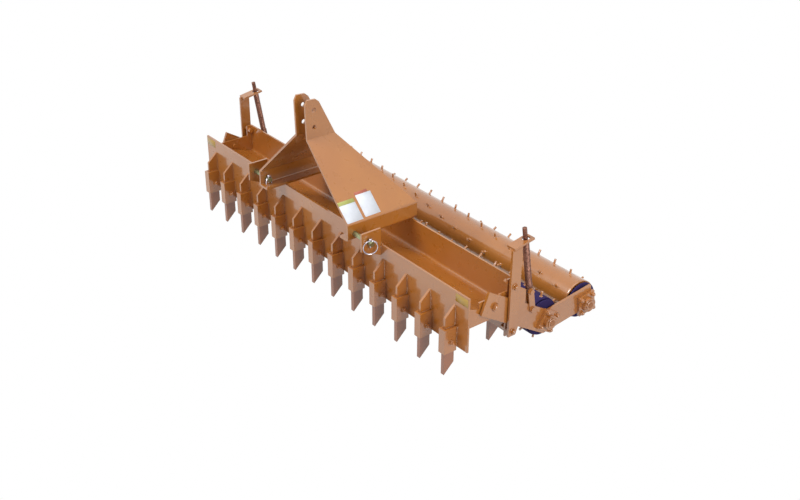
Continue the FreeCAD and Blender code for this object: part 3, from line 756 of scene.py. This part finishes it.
def stickers():
    plate_low, plate_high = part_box("front_plate")
    ends = {"right": plate_high.x - STICKER_SIDES[0][1], "left": plate_low.x + STICKER_SIDES[1][1]}
    for side, x in ends.items():
        corner = Vector((x, plate_low.y, plate_high.z - STICKER_DROP))
        sticker("corner_sticker_" + side, corner, X, Z, CORNER_STICKER, YELLOW)
    spot, normal = on_node("hitch_side_right", SLOPE_PROBE, -Z)
    up = normal.cross(-Y).normalized()
    if up.z < 0:
        up = -up
    fold = spot - up * ((spot.z - FOLD_Z) / up.z)
    for name, y, rise, width, height, material in LABELS:
        corner = Vector((fold.x, y + Y_SHIFT, fold.z)) + up * rise
        sticker(name, corner, Y, up, (width, height), material)


stickers()


# Studio

CAMERA_PLACE = (3.80445, -2.911735, 2.70904)
CAMERA_AZIMUTH, CAMERA_ELEVATION, CAMERA_ROLL = 51.51, 29.16, 0.32      # degrees
CAMERA_LENS, SENSOR = 52.07, 36.0       # millimetres
FLOOR_GREY = (0.5, 0.5, 0.5, 1)         # what the floor throws back on the object
FILL, FILL_STRENGTH = (0.86, 0.87, 0.9, 1), 0.34
LAMPS = (("key", (-0.8, -3.2, 4.2), 2.6, 160), ("top", (0.3, 0.6, 4.5), 3.5, 40),
         ("side", (4.6, -0.6, 2.4), 2.4, 125))
LAMP_TARGET = (0, 0, 0.2)

def white_to_eye(tree):
    """1 for what the eye sees straight, mirrored or through glass, else 0."""
    path = add(tree, "ShaderNodeLightPath")
    total = path.outputs["Is Camera Ray"]
    for name in ("Is Glossy Ray", "Is Transmission Ray"):
        node = add(tree, "ShaderNodeMath", operation="ADD", use_clamp=True)
        tree.links.new(total, node.inputs[0])
        tree.links.new(path.outputs[name], node.inputs[1])
        total = node.outputs[0]
    return total


def studio_floor():
    """A white floor to the eye and to gloss, grey to diffuse light, that keeps no edge in the frame."""
    bpy.ops.object.select_all(action="DESELECT")
    bpy.ops.mesh.primitive_plane_add(size=60)
    floor = bpy.context.object
    floor.name = "floor"
    material = bpy.data.materials.new("floor_white")
    material.use_nodes = True
    tree = material.node_tree
    surface = tree.nodes["Principled BSDF"]
    surface.inputs["Base Color"].default_value = FLOOR_GREY
    surface.inputs["Roughness"].default_value = 1.0
    glow = add(tree, "ShaderNodeEmission", Color=(1, 1, 1, 1), Strength=1.0)
    mix = add(tree, "ShaderNodeMixShader")
    tree.links.new(white_to_eye(tree), mix.inputs[0])
    tree.links.new(surface.outputs[0], mix.inputs[1])
    tree.links.new(glow.outputs[0], mix.inputs[2])
    tree.links.new(mix.outputs[0], tree.nodes["Material Output"].inputs["Surface"])
    floor.data.materials.append(material)


def studio_world():
    """A white surround to the eye and to gloss, and a dim soft fill to everything else."""
    world = bpy.data.worlds.new("studio")
    bpy.context.scene.world = world
    world.use_nodes = True
    tree = world.node_tree
    soft = tree.nodes["Background"]
    soft.inputs["Color"].default_value = FILL
    soft.inputs["Strength"].default_value = FILL_STRENGTH
    plain = add(tree, "ShaderNodeBackground", Color=(1, 1, 1, 1), Strength=1.0)
    mix = add(tree, "ShaderNodeMixShader")
    tree.links.new(white_to_eye(tree), mix.inputs[0])
    tree.links.new(soft.outputs[0], mix.inputs[1])
    tree.links.new(plain.outputs[0], mix.inputs[2])
    tree.links.new(mix.outputs[0], tree.nodes["World Output"].inputs["Surface"])


def lamp(name, where, size, power):
    """A round soft lamp that looks at the object."""
    light = bpy.data.lights.new(name, "AREA")
    light.shape, light.size, light.energy = "DISK", size, power
    holder = bpy.data.objects.new(name, light)
    bpy.context.scene.collection.objects.link(holder)
    holder.location = where
    holder.rotation_euler = (Vector(LAMP_TARGET) - Vector(where)).to_track_quat("-Z", "Y").to_euler()


def camera():
    data = bpy.data.cameras.new("camera")
    data.sensor_width, data.lens = SENSOR, CAMERA_LENS
    data.clip_end = 100.0
    holder = bpy.data.objects.new("camera", data)
    bpy.context.scene.collection.objects.link(holder)
    turn = Matrix.Rotation(math.radians(CAMERA_AZIMUTH), 4, "Z")
    turn = turn @ Matrix.Rotation(math.radians(90 - CAMERA_ELEVATION), 4, "X")
    turn = turn @ Matrix.Rotation(math.radians(CAMERA_ROLL), 4, "Z")
    holder.matrix_world = Matrix.Translation(Vector(CAMERA_PLACE)) @ turn
    bpy.context.scene.camera = holder


studio_floor()
studio_world()
for name, where, size, power in LAMPS:
    lamp(name, where, size, power)
camera()
bpy.context.scene.view_settings.view_transform = "Standard"
